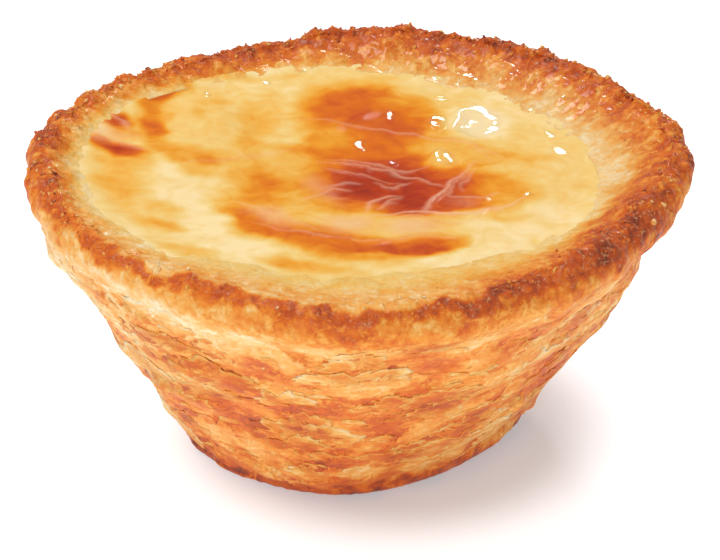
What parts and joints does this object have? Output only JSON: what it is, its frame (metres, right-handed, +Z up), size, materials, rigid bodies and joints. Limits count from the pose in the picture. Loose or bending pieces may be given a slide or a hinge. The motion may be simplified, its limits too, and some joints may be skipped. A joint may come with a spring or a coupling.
{
  "type": "custard tart",
  "caption": "Small deep custard tart: a flaky puff pastry cup with a craggy browned rim, filled with caramelised baked custard.",
  "frame": {"origin": "centre of the flat base, on the surface the tart stands on", "axes": "+Z up; -Y is the front that the picture shows; +X is the picture's right"},
  "size_m": [0.0767, 0.0759, 0.0356],
  "materials": {
    "pastry": "baked puff pastry, flaky, golden to brown, satin butter sheen",
    "custard": "baked egg custard, glossy skin with amber and red-brown caramelised patches"
  },
  "bodies": {
    "root": {"pastry_cup": "pastry", "custard": "custard"}
  },
  "joints": []
}
